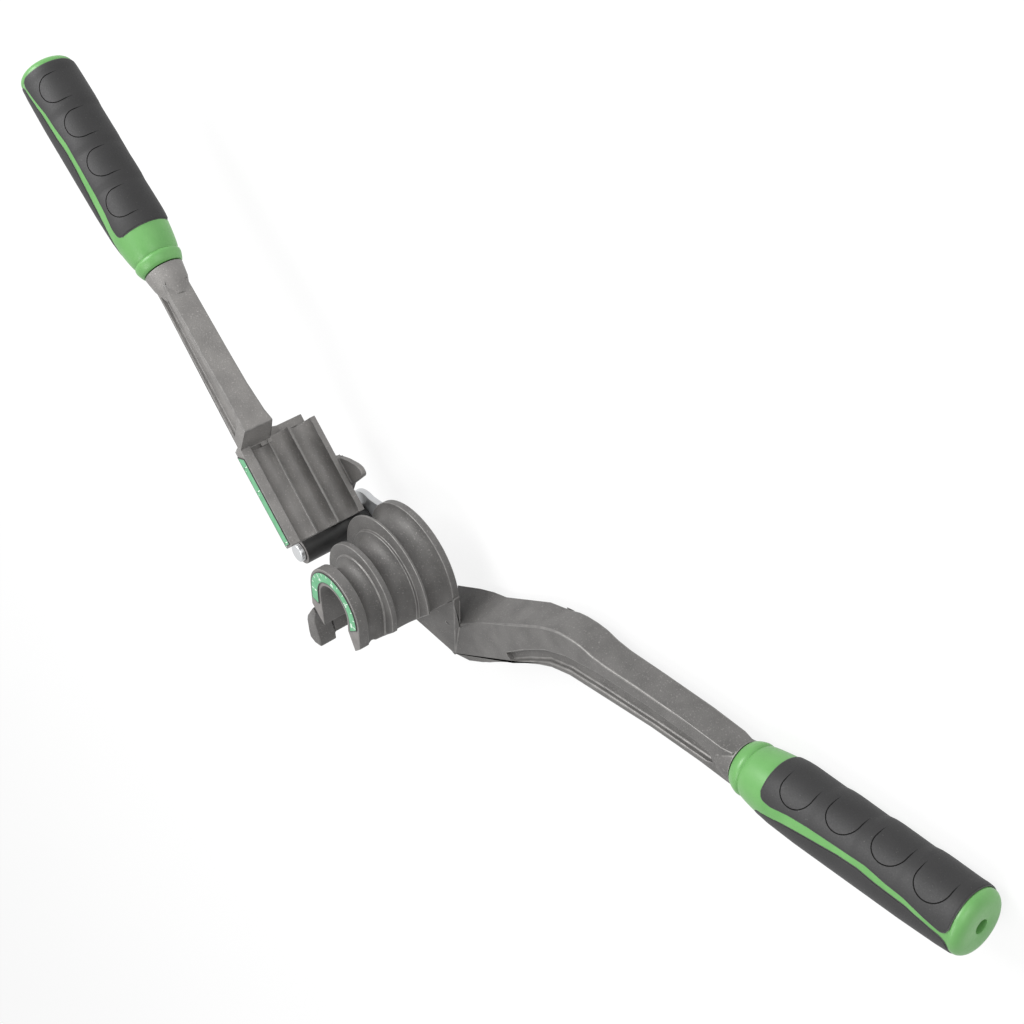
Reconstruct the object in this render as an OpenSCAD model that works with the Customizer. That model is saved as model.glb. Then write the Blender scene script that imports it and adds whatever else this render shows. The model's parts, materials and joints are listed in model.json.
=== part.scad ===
// Three-groove lever tube bender, lying on its far side.
// Frame: origin on the former's centre axis at the back face of its large flange,
// +Z along that axis towards the angle scale, +X along the former's handle.
// Depths are measured away from the scale face, against +Z.

/* [Tubes] */
// outside diameter of the small tube
tube_small_d = 6.35; // [6.0:0.01:6.35]
// outside diameter of the middle tube
tube_mid_d = 7.94; // [7.5:0.01:8.0]
// outside diameter of the large tube
tube_large_d = 9.53; // [9.0:0.01:9.53]
// bend radius of the small groove, to the tube's centre line
bend_small_r = 14.3; // [14.0:0.1:14.5]
// bend radius of the middle groove, to the tube's centre line
bend_mid_r = 18.5; // [18.3:0.1:18.7]
// bend radius of the large groove, to the tube's centre line
bend_large_r = 23.8; // [23.5:0.1:23.9]
// radial clearance of a tube in its groove
groove_clear = 0.05; // [0.02:0.01:0.1]

/* [Former] */
// width of the plain land beside the small groove
near_land = 3.9; // [3.0:0.1:3.9]
// depth of the small step along the axis
step_small = 10.8; // [10.6:0.1:11.0]
// depth of the small and middle steps together
step_mid = 21.9; // [21.8:0.1:22.0]
// distance from the scale face to the large flange
step_large = 32.5; // [32.5:0.1:32.8]
// thickness of the large flange
flange_t = 2.5; // [2.5:0.05:2.7]
// turn of the former's crown from the +Y direction
crown_turn = -24; // [-25:0.5:-23]
// radius of the hollow under the crown
hollow_r = 8; // [7:0.1:8.2]
// depth of the hollow
hollow_depth = 28.5; // [26:0.5:28.5]
// distance from the pivot to the collar of the former's grip
arm_reach = 153.5; // [140:0.5:170]
// depth of the pocket in the handle's side
pocket_depth = 1.8; // [1:0.1:2.5]
// thickness of the two labels
label_t = 0.3; // [0.2:0.05:0.5]
// inner radius of the angle scale
scale_in_r = 9.2; // [9:0.1:9.5]
// outer radius of the angle scale
scale_out_r = 13.3; // [12.5:0.1:13.5]

/* [Shoe] */
// distance from the former's axis to the hinge pin
hinge_reach = 35.7; // [35.6:0.1:36.2]
// direction of the hinge pin from the former's axis
hinge_angle = 166.8; // [164:0.1:170]
// direction of the shoe's grooves
shoe_angle = 115.7; // [110:0.1:120]
// gap left between the shoe and the former when they meet
shoe_gap = 0.3; // [0.3:0.05:0.5]
// height of the shoe's small land above the hinge pin
shoe_rise = 19.5; // [19.4:0.1:19.8]
// width of the shoe's scale face
shoe_face = 5.4; // [5:0.1:5.8]
// start of the grooves past the hinge pin
shoe_start = 2.6; // [2.4:0.1:3]
// length of the grooves
shoe_len = 37.8; // [36:0.2:38.2]
// distance from the hinge pin to the collar of the shoe's grip
shoe_reach = 108.2; // [100:0.1:120]
// radius of the hinge pin
pin_r = 3.0; // [2.8:0.1:3.1]
// outer radius of the hinge sleeve
sleeve_r = 5.0; // [4.6:0.1:5.0]
// wall of the saddle that holds the hinge sleeve
saddle_wall = 3; // [2:0.1:3.5]
// running clearance of the pins and the rivet
run_clear = 0.05; // [0.03:0.01:0.09]

/* [Grips] */
// length of a grip from its collar to its end
grip_len = 80.5; // [78:0.5:82]
// radius of the rubber
grip_r = 10.5; // [10.2:0.1:10.8]
// radius of the green stripe between the rubber panels
stripe_r = 10.2; // [10:0.1:10.2]
// width of the green stripe
stripe_w = 2.6; // [2:0.1:3]
// height of the finger pads over the rubber
pad_rise = 0.5; // [0.3:0.05:0.6]
// radius of the tang inside a grip
tang_r = 5; // [4.5:0.1:5.4]
// radius of the hanging hole in the end cap
hang_hole_r = 2.1; // [1.5:0.1:2.5]
// depth of the hanging hole
hang_hole_depth = 9; // [6:0.5:10]

/* [Link and latch] */
// thickness of the link plate
link_t = 2.5; // [2:0.1:3]
// half the width of the link
link_half = 10.5; // [9:0.5:11]
// radius of the pivot rivet
rivet_r = 5; // [4.5:0.1:5.2]
// radius of the hole through the pivot rivet
rivet_hole_r = 2.5; // [2:0.1:2.6]
// radius of the latch pin
latch_pin_r = 2.5; // [2.3:0.1:2.6]
// distance from the latch pin to the hook's tip
latch_reach = 22.5; // [22.3:0.1:23]

/* [View] */
// which piece to draw

/* [Hidden] */
$fn = 96;
cast_grey = [0.43, 0.42, 0.41];
steel = [0.78, 0.79, 0.80];
label_green = [0.33, 0.68, 0.48];
grip_green = [0.36, 0.78, 0.35];
rubber_black = [0.13, 0.13, 0.13];
sleeve_black = [0.10, 0.10, 0.10];

// distance from the scale face to the flange's back
head_depth = step_large + flange_t;

// how far a cut runs past what it cuts, and how deep joined solids lap
over = 1;
lap = 0.01;
// longer than any piece, for half-space cuts
far = 200;

// groove radii
groove_small = tube_small_d / 2 + groove_clear;
groove_mid = tube_mid_d / 2 + groove_clear;
groove_large = tube_large_d / 2 + groove_clear;
// the middle groove lies a little beyond the middle of its step
mid_shift = 0.5;
large_edge = 0.1;
small_at = near_land + groove_small;
mid_at = (step_small + step_mid) / 2 + mid_shift;
large_at = step_large - large_edge - groove_large;

// the shoe's lands above the hinge pin
former_off = shoe_rise + bend_small_r + shoe_gap;
land_small = shoe_rise;
land_mid = former_off - bend_mid_r - shoe_gap;
land_large = former_off - bend_large_r - shoe_gap;
hinge_x = hinge_reach * cos(hinge_angle);
hinge_y = hinge_reach * sin(hinge_angle);
block_end = shoe_start + shoe_len;
// where the shoe meets the former, past the hinge pin, and how far its ends reach
contact_at = sqrt(hinge_reach * hinge_reach - former_off * former_off);
block_lead = block_end - contact_at;

// layers behind the flange: the shoe's fin, the link, its washer and the rivet's head
layer_gap = 0.3;
fin_t = 1.9;
link_gap = 0.8;
washer_t = 0.6;
shim_gap = 0.1;
arm_t = 13;
fin_from = head_depth + layer_gap;
fin_to = fin_from + fin_t;
link_from = fin_to + link_gap;
link_to = link_from + link_t;
washer_from = link_to + shim_gap;
rivet_head_from = washer_from + washer_t + shim_gap;
latch_head_from = fin_to + washer_t + 2 * shim_gap;
latch_foot = 0.9;
back_to = head_depth + arm_t;

// the outlines below are shares of the size that each follows
// slanting ends of the crown's legs, of bend_large_r
leg_cut_share = [[-1.68, 0.471], [-0.315, -0.647], [0.076, -0.966], [0.475, -0.521],
                 [1.68, 0.828]];
hollow_at_share = [-0.017, -0.021];
// root of the handle below the flange, of bend_large_r
root_share = [[-0.571, -0.979], [-0.084, -1.155], [0.92, -0.412], [0.958, -0.336],
              [0.504, 0], [-0.504, 0], [-0.63, -0.588]];
root_foot_share = [[-0.084, -1.155], [0.311, -1.496], [0.727, -0.849], [0.92, -0.412]];
latch_at_share = [-0.273, -0.945];
latch_x = latch_at_share[0] * bend_large_r;
latch_y = latch_at_share[1] * bend_large_r;
// dog-legged handle of the former, of arm_reach
arm_share = [[0.015, -0.214], [0.05, -0.23], [0.106, -0.231], [0.156, -0.219], [0.244, -0.19],
             [0.326, -0.167], [0.402, -0.147], [0.45, -0.138], [0.514, -0.1375],
             [0.624, -0.155], [0.759, -0.177], [0.889, -0.2065], [0.973, -0.2285],
             [0.9875, -0.152], [0.866, -0.1166], [0.741, -0.0893], [0.651, -0.071],
             [0.612, -0.06], [0.58, -0.0456], [0.551, -0.0384], [0.515, -0.0339],
             [0.489, -0.0339], [0.442, -0.0404], [0.316, -0.0717], [0.192, -0.104],
             [0.117, -0.138], [0.059, -0.153], [0.015, -0.164]];
// corners of the blends behind the root: [x, y of arm_reach, depth of arm_t]
blend_mid_share = [[0.1922, -0.1042, 0.001], [0.199, -0.205, 0.001], [0.199, -0.0815, 0.998],
                   [0.199, -0.2, 0.998]];
blend_root_share = [[0.05, -0.229, 0.001], [0.1127, -0.1316, 0.001], [0.106, -0.23, 0.001],
                    [0.156, -0.2175, 0.001], [-0.004, -0.1055, 0.998], [0.094, -0.0875, 0.998],
                    [0.143, -0.0815, 0.998], [0.015, -0.205, 0.998]];
blend_arm_share = [[0.442, -0.042, 0.001], [0.402, -0.12, 0.001], [0.442, -0.042, 0.998],
                   [0.378, -0.0425, 0.998], [0.402, -0.12, 0.998]];
// how the handle's depth tapers, as [along arm_reach, of arm_t]
arm_front_share = [[0.964, -0.001], [1, 0.092]];
arm_back_share = [[1, 0.662], [0.964, 0.754], [0.651, 0.846], [0.391, 1]];
// pocket in the handle's side, of arm_reach
pocket_share = [[0.28, -0.1566], [0.358, -0.125], [0.443, -0.099], [0.515, -0.0913],
                [0.619, -0.098], [0.769, -0.128], [0.9, -0.162], [0.925, -0.176],
                [0.929, -0.193], [0.912, -0.195], [0.769, -0.165], [0.619, -0.138],
                [0.515, -0.1225], [0.443, -0.125], [0.358, -0.15], [0.293, -0.173]];
// where the grips' collars are: of the reach across, and turned from it
former_grip_share = -0.198;
former_grip_turn = -13.2;
former_grip_depth = head_depth + 0.408 * arm_t;
shoe_grip_share = 0.2204;
shoe_grip_turn = 6.9;
shoe_grip_depth = 4.6;

// the shoe's block: its back's height over the pin, and where the back starts to slant
block_back = 2.7;
block_slant_share = 0.743;
block_short = 0.4;
// the hinge sleeve and the saddle round its far side
sleeve_from = 9.6;
sleeve_fit = 0.02;
saddle_from = 12.5;
saddle_end = 15;
// fin that passes behind the large flange, of shoe_len
fin_root_share = [[0.103, 0.655], [0.251, 0.615], [0.251, 0.337], [0.103, 0.284]];
fin_share = [[0.183, 0.639], [0.306, 0.586], [0.377, 0.549], [0.434, 0.512],
             [0.49, 0.475], [0.526, 0.443], [0.546, 0.414], [0.549, 0.38],
             [0.541, 0.353], [0.512, 0.337], [0.183, 0.327]];
fin_root_t = 1;
block_swept_r = norm([former_off - block_back, block_lead]) + layer_gap;
// handle beside the small groove: [of shoe_reach, of the reach past the block]
shoe_arm_share = [[0.155, -0.0373], [0.1802, -0.0118], [0.2828, 0.0428], [0.2856, 0.2412],
                  [0.2754, 0.5069], [0.2708, 0.8452], [0.2662, 0.9402], [0.1765, 0.9457],
                  [0.1802, 0.8605], [0.1756, 0.5951], [0.171, 0.2412], [0.1617, -0.0022]];
// pocket in its near side, in the same shares
shoe_pocket_share = [[0.1922, 0.8404], [0.1858, 0.5946], [0.1811, 0.2388],
                     [0.1793, 0.0584], [0.26, 0.1127], [0.2458, 0.5053], [0.2357, 0.8404],
                     [0.214, 0.8691]];
// webs that carry the handle past the grooves' ends, of shoe_len
web_from = 8;
end_web_share = [[0.38, 1.03], [0.38, 1.079], [0.455, 1.09], [0.5, 1.15], [0.5, 1.03]];
near_web_share = [[0.08, 1], [0.08, 1.14], [0.32, 1.19], [0.5, 1.15], [0.5, 1]];
mid_web_share = [[0.08, 1, 0], [0.08, 1.18, 0], [0.296, 1.18, 0], [0.296, 1, 0],
                 [0.08, 1, 1], [0.08, 1.15, 1], [0.135, 1.15, 1], [0.135, 1, 1]];
far_web_share = [[0.08, 1], [0.08, 1.15], [0.135, 1.15], [0.135, 1]];
// the same handle's depth, as [along shoe_reach, of shoe_arm_t]
shoe_arm_t = 12.4;
shoe_arm_front_share = [[0.192, 0.016], [0.968, 0.016], [0.983, 0.081]];
shoe_arm_back_share = [[0.983, 0.645], [0.913, 0.71], [0.737, 0.742], [0.534, 0.774],
                       [0.441, 0.855], [0.386, 0.968], [0.34, 1], [0.192, 1]];

// heads, washers and clips
rivet_foot = 1.2;
rivet_foot_r = rivet_r + 2;
rivet_head_t = 1.8;
rivet_head_r = rivet_r + 3.5;
spacer_r = 9;
latch_head_t = 1.2;
latch_head_r = latch_pin_r + 1.7;
pin_near = 7.7;
pin_far = 1.6;
clip_t = 0.8;
clip_w = 1.4;

// a slab between two depths below the scale face
module slab(a0, a1) {
  translate([0, 0, head_depth - a1])
    linear_extrude(a1 - a0)
      children();
}

// a round bar between two depths below the scale face
module bar(a0, a1, r) {
  translate([0, 0, head_depth - a1])
    cylinder(h = a1 - a0, r = r);
}

// a washer between two depths
module ring(a0, a1, r, hole_r) {
  difference() {
    bar(a0, a1, r);
    bar(a0 - over, a1 + over, hole_r);
  }
}

module crown_frame() {
  rotate([0, 0, crown_turn])
    children();
}

module shoe_frame() {
  translate([hinge_x, hinge_y, 0])
    rotate([0, 0, shoe_angle - 90])
      children();
}

// one step of the crown with its half-round groove
module crown_step(a0, a1, r, at, tube_r) {
  difference() {
    intersection() {
      bar(a0, a1, r);
      translate([-far / 2, 0, -far / 2])
        cube([far, far, far]);
    }
    translate([0, 0, head_depth - at])
      rotate_extrude()
        translate([r, 0])
          circle(tube_r);
  }
}

// the two straight legs that carry a step's groove on
module leg_step(a0, a1, r, at, tube_r) {
  difference() {
    slab(a0, a1)
      translate([-r, -2 * bend_large_r])
        square([2 * r, 2 * bend_large_r]);
    for (side = [-1, 1])
      translate([side * r, over, head_depth - at])
        rotate([90, 0, 0])
          cylinder(h = 3 * bend_large_r, r = tube_r);
  }
}

module leg_cut() {
  points = leg_cut_share * bend_large_r;
  polygon(concat(points, [[points[4][0], -far], [points[0][0], -far]]));
}

// the hollow between the legs
module hollow_outline() {
  middle = hollow_at_share * bend_large_r;
  left_tip = leg_cut_share[1] * bend_large_r;
  right_tip = leg_cut_share[3] * bend_large_r;
  translate(middle)
    circle(hollow_r);
  polygon([[middle[0] - hollow_r, middle[1]], left_tip, [left_tip[0], -2 * bend_large_r],
           [right_tip[0] + over, -2 * bend_large_r], right_tip,
           [middle[0] + hollow_r, 0.42 * right_tip[1]], [middle[0] + hollow_r, middle[1]]]);
}

module former_head() {
  difference() {
    union() {
      crown_step(0, step_small, bend_small_r, small_at, groove_small);
      leg_step(0, step_small, bend_small_r, small_at, groove_small);
      crown_step(step_small, step_mid, bend_mid_r, mid_at, groove_mid);
      leg_step(step_small, step_mid, bend_mid_r, mid_at, groove_mid);
      crown_step(step_mid, head_depth, bend_large_r, large_at, groove_large);
      leg_step(step_mid, head_depth, bend_large_r, large_at, groove_large);
    }
    slab(-over, head_depth + over)
      leg_cut();
    slab(-over, hollow_depth)
      hollow_outline();
  }
}

module root_outline() {
  polygon(root_share * bend_large_r);
}

// foot of the root, whose near face falls back from the flange to the handle
module root_foot() {
  points = [for (i = [0 : 7])
    let (p = root_foot_share[i % 4] * bend_large_r, near = i == 0 || i == 3)
      [p[0], p[1], near ? flange_t : i < 4 ? lap : -lap]];
  hull()
    polyhedron(points, [[for (i = [0 : len(points) - 1]) i]]);
}

// a side view of the handle, cut along its whole width
module depth_cut(front, back, reach, t, from) {
  points = [for (p = concat(front, back)) [p[0] * reach, from - p[1] * t]];
  rotate([90, 0, 0])
    translate([0, 0, -far / 2])
      linear_extrude(far)
        polygon(points);
}

module former_arm() {
  start = -0.25;
  intersection() {
    slab(head_depth - lap, back_to)
      polygon(arm_share * arm_reach);
    depth_cut(concat([[start, -0.001]], arm_front_share),
              concat(arm_back_share, [[start, 1]]), arm_reach, arm_t, 0);
  }
}

// space that the shoe's block sweeps in front of the root, in the crown's frame
module block_travel() {
  intersection() {
    circle(block_swept_r);
    translate([bend_large_r + shoe_gap / 2, -block_lead - layer_gap])
      square([far, far]);
  }
}

// smooth body between the given corners behind the head
module blend(corners) {
  points = [for (p = corners) [p[0] * arm_reach, p[1] * arm_reach, -p[2] * arm_t]];
  hull()
    polyhedron(points, [[for (i = [0 : len(points) - 1]) i]]);
}

module former_casting() {
  slot_turn = -34;
  slot_at_share = [0.56, -0.885];
  slot_len = 4.4;
  slot_w = 0.9;
  slot_depth = 0.8;
  color(cast_grey)
    difference() {
      union() {
        crown_frame()
          former_head();
        difference() {
          union() {
            slab(step_large, head_depth)
              root_outline();
            root_foot();
          }
          crown_frame()
            slab(step_large - over, head_depth)
              block_travel();
        }
        former_arm();
        blend(concat(blend_root_share, blend_mid_share));
        blend(concat(blend_arm_share, blend_mid_share));
        at_former_grip()
          tang();
      }
      bar(0, head_depth + over, rivet_r);
      translate([latch_x, latch_y])
        bar(step_large + latch_foot, head_depth + over, latch_pin_r);
      // side pocket, and the short slot in the root
      slab(head_depth - lap, head_depth + pocket_depth)
        polygon(pocket_share * arm_reach);
      slab(step_large - lap, step_large + slot_depth)
        translate(slot_at_share * bend_large_r)
          rotate([0, 0, slot_turn])
            square([slot_len, slot_w], center = true);
    }
}

module angle_label() {
  low_share = 0.32;
  left_low = -0.436 * scale_out_r;
  right_low = -low_share * scale_out_r;
  color(label_green)
    crown_frame()
      slab(-label_t, 0) {
        difference() {
          circle(scale_out_r);
          circle(scale_in_r);
          translate([-far / 2, -far])
            square([far, far]);
        }
        translate([-scale_out_r, left_low])
          square([scale_out_r - scale_in_r, -left_low + lap]);
        polygon([[scale_in_r, lap], [scale_in_r, right_low],
                 [scale_out_r, 0.14 * right_low], [scale_out_r, lap]]);
      }
}

module pivot_rivet() {
  color(steel)
    difference() {
      union() {
        bar(hollow_depth - rivet_foot, hollow_depth, rivet_foot_r);
        bar(hollow_depth - lap, rivet_head_from + lap, rivet_r);
        bar(rivet_head_from, rivet_head_from + rivet_head_t, rivet_head_r);
      }
      bar(hollow_depth - rivet_foot - over, rivet_head_from + rivet_head_t + over,
          rivet_hole_r);
    }
}

module pivot_spacer() {
  color(steel)
    ring(head_depth + shim_gap, link_from - shim_gap, spacer_r, rivet_r + shim_gap);
}

module pivot_washer() {
  color(steel)
    ring(washer_from, washer_from + washer_t, spacer_r, rivet_r + shim_gap);
}

module latch_pin() {
  color(steel)
    translate([latch_x, latch_y]) {
      bar(step_large + latch_foot + shim_gap, latch_head_from + lap, latch_pin_r);
      bar(latch_head_from, latch_head_from + latch_head_t, latch_head_r);
    }
}

module latch_spacer() {
  wall = 1.6;
  color(steel)
    translate([latch_x, latch_y])
      ring(fin_to + shim_gap, fin_to + shim_gap + washer_t, latch_pin_r + wall,
           latch_pin_r + shim_gap);
}

module link_plate() {
  link_waist_share = 0.93;
  color(steel)
    difference() {
      union() {
        bar(link_from, link_to, link_half);
        translate([hinge_x, hinge_y])
          bar(link_from, link_to, link_half);
        slab(link_from, link_to)
          rotate([0, 0, hinge_angle])
            translate([0, -link_waist_share * link_half])
              square([hinge_reach, 2 * link_waist_share * link_half]);
      }
      bar(link_from - over, link_to + over, rivet_r + run_clear);
      translate([hinge_x, hinge_y])
        bar(link_from - over, link_to + over, pin_r);
    }
}

module hinge_pin() {
  color(steel)
    translate([hinge_x, hinge_y])
      bar(pin_near, link_to + pin_far, pin_r);
}

module hinge_clip() {
  color(sleeve_black)
    translate([hinge_x, hinge_y])
      ring(link_to + shim_gap, link_to + shim_gap + clip_t, pin_r + clip_w, pin_r);
}

// the stepped shoe block with its three straight grooves
module shoe_block() {
  block_to = head_depth - block_short;
  translate([0, shoe_start, 0])
    rotate([-90, 0, 0])
      linear_extrude(shoe_len)
        difference() {
          translate([0, -head_depth])
            polygon([[land_small - shoe_face, 0], [land_small, 0],
                     [land_small, step_small], [land_mid, step_small],
                     [land_mid, step_mid], [land_large, step_mid],
                     [land_large, block_to], [block_back, block_to],
                     [block_back, block_slant_share * head_depth]]);
          translate([land_small, small_at - head_depth])
            circle(groove_small);
          translate([land_mid, mid_at - head_depth])
            circle(groove_mid);
          translate([land_large, large_at - head_depth])
            circle(groove_large);
        }
}

// half-open barrel behind the sleeve, blended into the block
module shoe_saddle() {
  saddle_r = sleeve_r + saddle_wall;
  low_share = 0.6;
  slab(saddle_from, head_depth - block_short) {
    intersection() {
      circle(saddle_r);
      translate([-far, -low_share * saddle_r])
        square([far, far]);
    }
    polygon([[-saddle_r, 0], [-saddle_r, shoe_start], [block_back, saddle_end],
             [block_back + over, saddle_end], [block_back + over, shoe_start], [0, shoe_start]]);
  }
}

module shoe_fin() {
  slab(head_depth - fin_root_t, fin_to)
    polygon(fin_root_share * shoe_len);
  slab(fin_from, fin_to)
    polygon(fin_share * shoe_len);
}

// outline of points that follow the block's end and the reach
module past_block(shares) {
  polygon([for (p = shares) [p[0] * shoe_reach, block_end + p[1] * (shoe_reach - block_end)]]);
}

module shoe_arm() {
  intersection() {
    slab(0, shoe_arm_t + over)
      past_block(shoe_arm_share);
    rotate([0, 0, 90])
      depth_cut(shoe_arm_front_share, shoe_arm_back_share, shoe_reach, shoe_arm_t,
                head_depth);
  }
}

module shoe_webs() {
  wall = 0.6;
  far_from = step_mid - lap;
  points = [for (p = mid_web_share)
    [p[0] * shoe_len, p[1] * shoe_len, -shoe_arm_t - p[2] * (step_mid - shoe_arm_t)]];
  slab(wall, web_from + lap)
    polygon(end_web_share * shoe_len);
  slab(web_from, shoe_arm_t + lap)
    polygon(near_web_share * shoe_len);
  translate([0, 0, head_depth])
    hull()
      polyhedron(points, [[for (i = [0 : len(points) - 1]) i]]);
  slab(far_from, step_large - layer_gap)
    polygon(far_web_share * shoe_len);
}

module shoe_casting() {
  color(cast_grey)
    shoe_frame()
      difference() {
        union() {
          shoe_block();
          shoe_saddle();
          shoe_fin();
          shoe_webs();
          difference() {
            shoe_arm();
            slab(-over, pocket_depth)
              past_block(shoe_pocket_share);
          }
          at_shoe_grip()
            tang();
        }
        bar(-over, head_depth + over, sleeve_r + sleeve_fit);
      }
}

module shoe_label() {
  inset = 0.4;
  low = land_small - shoe_face + inset;
  high = land_small - inset;
  color(label_green)
    shoe_frame()
      slab(-label_t, 0)
        polygon([[low + inset, shoe_start + 2 * inset], [high, shoe_start + 2 * inset],
                 [high, 0.9 * block_end], [low, 0.95 * block_end]]);
}

module hinge_sleeve() {
  color(sleeve_black)
    translate([hinge_x, hinge_y])
      ring(sleeve_from, link_from - layer_gap, sleeve_r, pin_r + run_clear);
}

// the hook's pieces, as shares of latch_reach from the latch pin
hook_head_share = [[-0.711, -0.018], [-0.893, 0.004], [-1, 0.084], [-0.982, 0.2],
                   [-0.902, 0.436], [-0.836, 0.529], [-0.556, 0.738], [-0.511, 0.644],
                   [-0.667, 0.422], [-0.671, 0.111]];
hook_bar_share = [[-0.671, 0.111], [-0.938, 0.093], [-0.938, 0.396], [-0.84, 0.493],
                  [-0.671, 0.44]];
hook_arm_share = [[0.053, 0.216], [-0.689, 0.476], [-0.902, 0.449], [-0.929, 0.102],
                  [-0.733, 0.067], [-0.053, -0.216]];

module latch_hook() {
  hook_near = 0.2;
  hook_head_w = 6.7;
  hook_hub_r = 0.222 * latch_reach;
  color(cast_grey)
    difference() {
      translate([latch_x, latch_y]) {
        slab(hook_near, hook_near + hook_head_w)
          polygon(hook_head_share * latch_reach);
        slab(hook_near + hook_head_w - shim_gap, fin_to)
          polygon(hook_bar_share * latch_reach);
        slab(fin_from, fin_to) {
          circle(hook_hub_r);
          polygon(hook_arm_share * latch_reach);
        }
      }
      translate([latch_x, latch_y])
        bar(0, fin_to + over, latch_pin_r + run_clear);
    }
}

// grips, built along +X with the scale side up in +Z

module at_former_grip() {
  translate([arm_reach, former_grip_share * arm_reach, head_depth - former_grip_depth])
    rotate([0, 0, former_grip_turn])
      children();
}

module at_shoe_grip() {
  translate([shoe_grip_share * shoe_reach, shoe_reach, head_depth - shoe_grip_depth])
    rotate([0, 0, 90 + shoe_grip_turn])
      children();
}

// a profile turned round the grip's axis, as [along grip_len, of grip_r] shares
module spun(share, from_r = 0) {
  points = [for (p = share) [max(from_r, p[1] * grip_r), p[0] * grip_len]];
  last = len(points) - 1;
  rotate([0, 90, 0])
    rotate_extrude()
      polygon(concat([[from_r, points[0][1]]], points, [[from_r, points[last][1]]]));
}

// where the collar, the rubber and the cap meet along the grip
collar_share = 0.14;
rubber_end_share = 0.963;
collar_profile_share = [[-0.032, 0.686], [-0.026, 0.752], [-0.014, 0.81], [0, 0.829],
                        [0.01, 0.81], [0.015, 0.781], [0.022, 0.819], [0.05, 0.848],
                        [0.092, 0.914], [collar_share, 0.933]];
tang_len_share = 0.82;
panel_in_share = 0.781;

// neck of the casting and the tang inside the grip
module tang() {
  neck_share = [[-0.17, 0.4], [-0.1, 0.6], [-0.036, 0.676], [-0.036, tang_r / grip_r],
                [tang_len_share, tang_r / grip_r]];
  spun(neck_share);
}

module grip_collar() {
  spun(collar_profile_share, tang_r);
}

// the side of a grip where the stripe and the pads are: +Y or -Y
module grip_core(side) {
  spun([[collar_share, panel_in_share], [rubber_end_share, panel_in_share]], tang_r);
  stripe_share = stripe_r / grip_r;
  intersection() {
    spun([[collar_share, stripe_share - 0.029], [0.16, stripe_share],
          [0.94, stripe_share], [rubber_end_share, stripe_share - 0.029]], tang_r);
    translate([0, side > 0 ? stripe_low : -stripe_low - stripe_w, -far / 2])
      cube([grip_len, stripe_w, far]);
  }
}
stripe_low = 1.6;

module grip_panel(top, side) {
  low = top ? stripe_low + stripe_w : -far;
  high = top ? far : stripe_low;
  intersection() {
    spun([[collar_share, 0.943], [0.152, 1], [0.945, 1], [rubber_end_share, 0.943]],
         panel_in_share * grip_r);
    translate([0, side > 0 ? low : -high, -far / 2])
      cube([grip_len, high - low, far]);
  }
}

// four finger pads, each highest at its collar side
pad_at_share = [0.205, 0.394, 0.575, 0.766];
pad_gap = 0.4;

module grip_pads(side) {
  rise = pad_rise / grip_r;
  low = stripe_low + stripe_w + pad_gap;
  intersection() {
    union() {
      for (at = pad_at_share)
        spun([[at - 0.05, 1], [at, 1 + rise], [at + 0.03, 1 + 0.8 * rise],
              [at + 0.11, 1 + 0.2 * rise], [at + 0.13, 1]], grip_r);
    }
    translate([0, side > 0 ? low : -far, -far / 2])
      cube([grip_len, far - low, far]);
  }
}

module grip_cap() {
  plug_r = tang_r - shim_gap;
  difference() {
    union() {
      spun([[rubber_end_share, 0.943], [0.972, 0.914], [0.98, 0.867], [0.989, 0.781],
            [0.996, 0.686], [1, 0.571]]);
      spun([[tang_len_share + 0.02, plug_r / grip_r], [0.97, plug_r / grip_r]]);
    }
    translate([grip_len - hang_hole_depth, 0, 0])
      rotate([0, 90, 0])
        cylinder(h = hang_hole_depth + over, r = hang_hole_r);
  }
}

module former_grip_collar() {
  color(grip_green)
    at_former_grip()
      grip_collar();
}

module former_grip_core() {
  color(grip_green)
    at_former_grip()
      grip_core(1);
}

module former_grip_top() {
  color(rubber_black)
    at_former_grip()
      grip_panel(true, 1);
}

module former_grip_bottom() {
  color(rubber_black)
    at_former_grip()
      grip_panel(false, 1);
}

module former_grip_pads() {
  color(rubber_black)
    at_former_grip()
      grip_pads(1);
}

module former_grip_cap() {
  color(grip_green)
    at_former_grip()
      grip_cap();
}

module shoe_grip_collar() {
  color(grip_green)
    shoe_frame()
      at_shoe_grip()
        grip_collar();
}

module shoe_grip_core() {
  color(grip_green)
    shoe_frame()
      at_shoe_grip()
        grip_core(-1);
}

module shoe_grip_top() {
  color(rubber_black)
    shoe_frame()
      at_shoe_grip()
        grip_panel(true, -1);
}

module shoe_grip_bottom() {
  color(rubber_black)
    shoe_frame()
      at_shoe_grip()
        grip_panel(false, -1);
}

module shoe_grip_pads() {
  color(rubber_black)
    shoe_frame()
      at_shoe_grip()
        grip_pads(-1);
}

module shoe_grip_cap() {
  color(grip_green)
    shoe_frame()
      at_shoe_grip()
        grip_cap();
}

former_casting();
angle_label();
pivot_rivet();
pivot_spacer();
pivot_washer();
latch_pin();
latch_spacer();
former_grip_collar();
former_grip_core();
former_grip_top();
former_grip_bottom();
former_grip_pads();
former_grip_cap();
link_plate();
hinge_pin();
hinge_clip();
shoe_casting();
shoe_label();
hinge_sleeve();
shoe_grip_collar();
shoe_grip_core();
shoe_grip_top();
shoe_grip_bottom();
shoe_grip_pads();
shoe_grip_cap();
latch_hook();
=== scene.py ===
# %% [markdown]
# # Dressing a hand tube bender
# The tool in the photograph is a lever bender for small tubes. A stepped former with three
# grooves stays still, a grooved shoe on a swinging link rolls the tube round it, a small
# latch holds the tube's end, and both handles end in soft grips. The solids that carry the
# sizes come from the frame. This notebook gives them cast, bright, printed and rubber
# surfaces, and models anew what the solids only hint at.

import json
from math import cos, degrees, pi, radians, sin, sqrt

import bmesh
import bpy
from mathutils import Matrix, Vector

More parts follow.
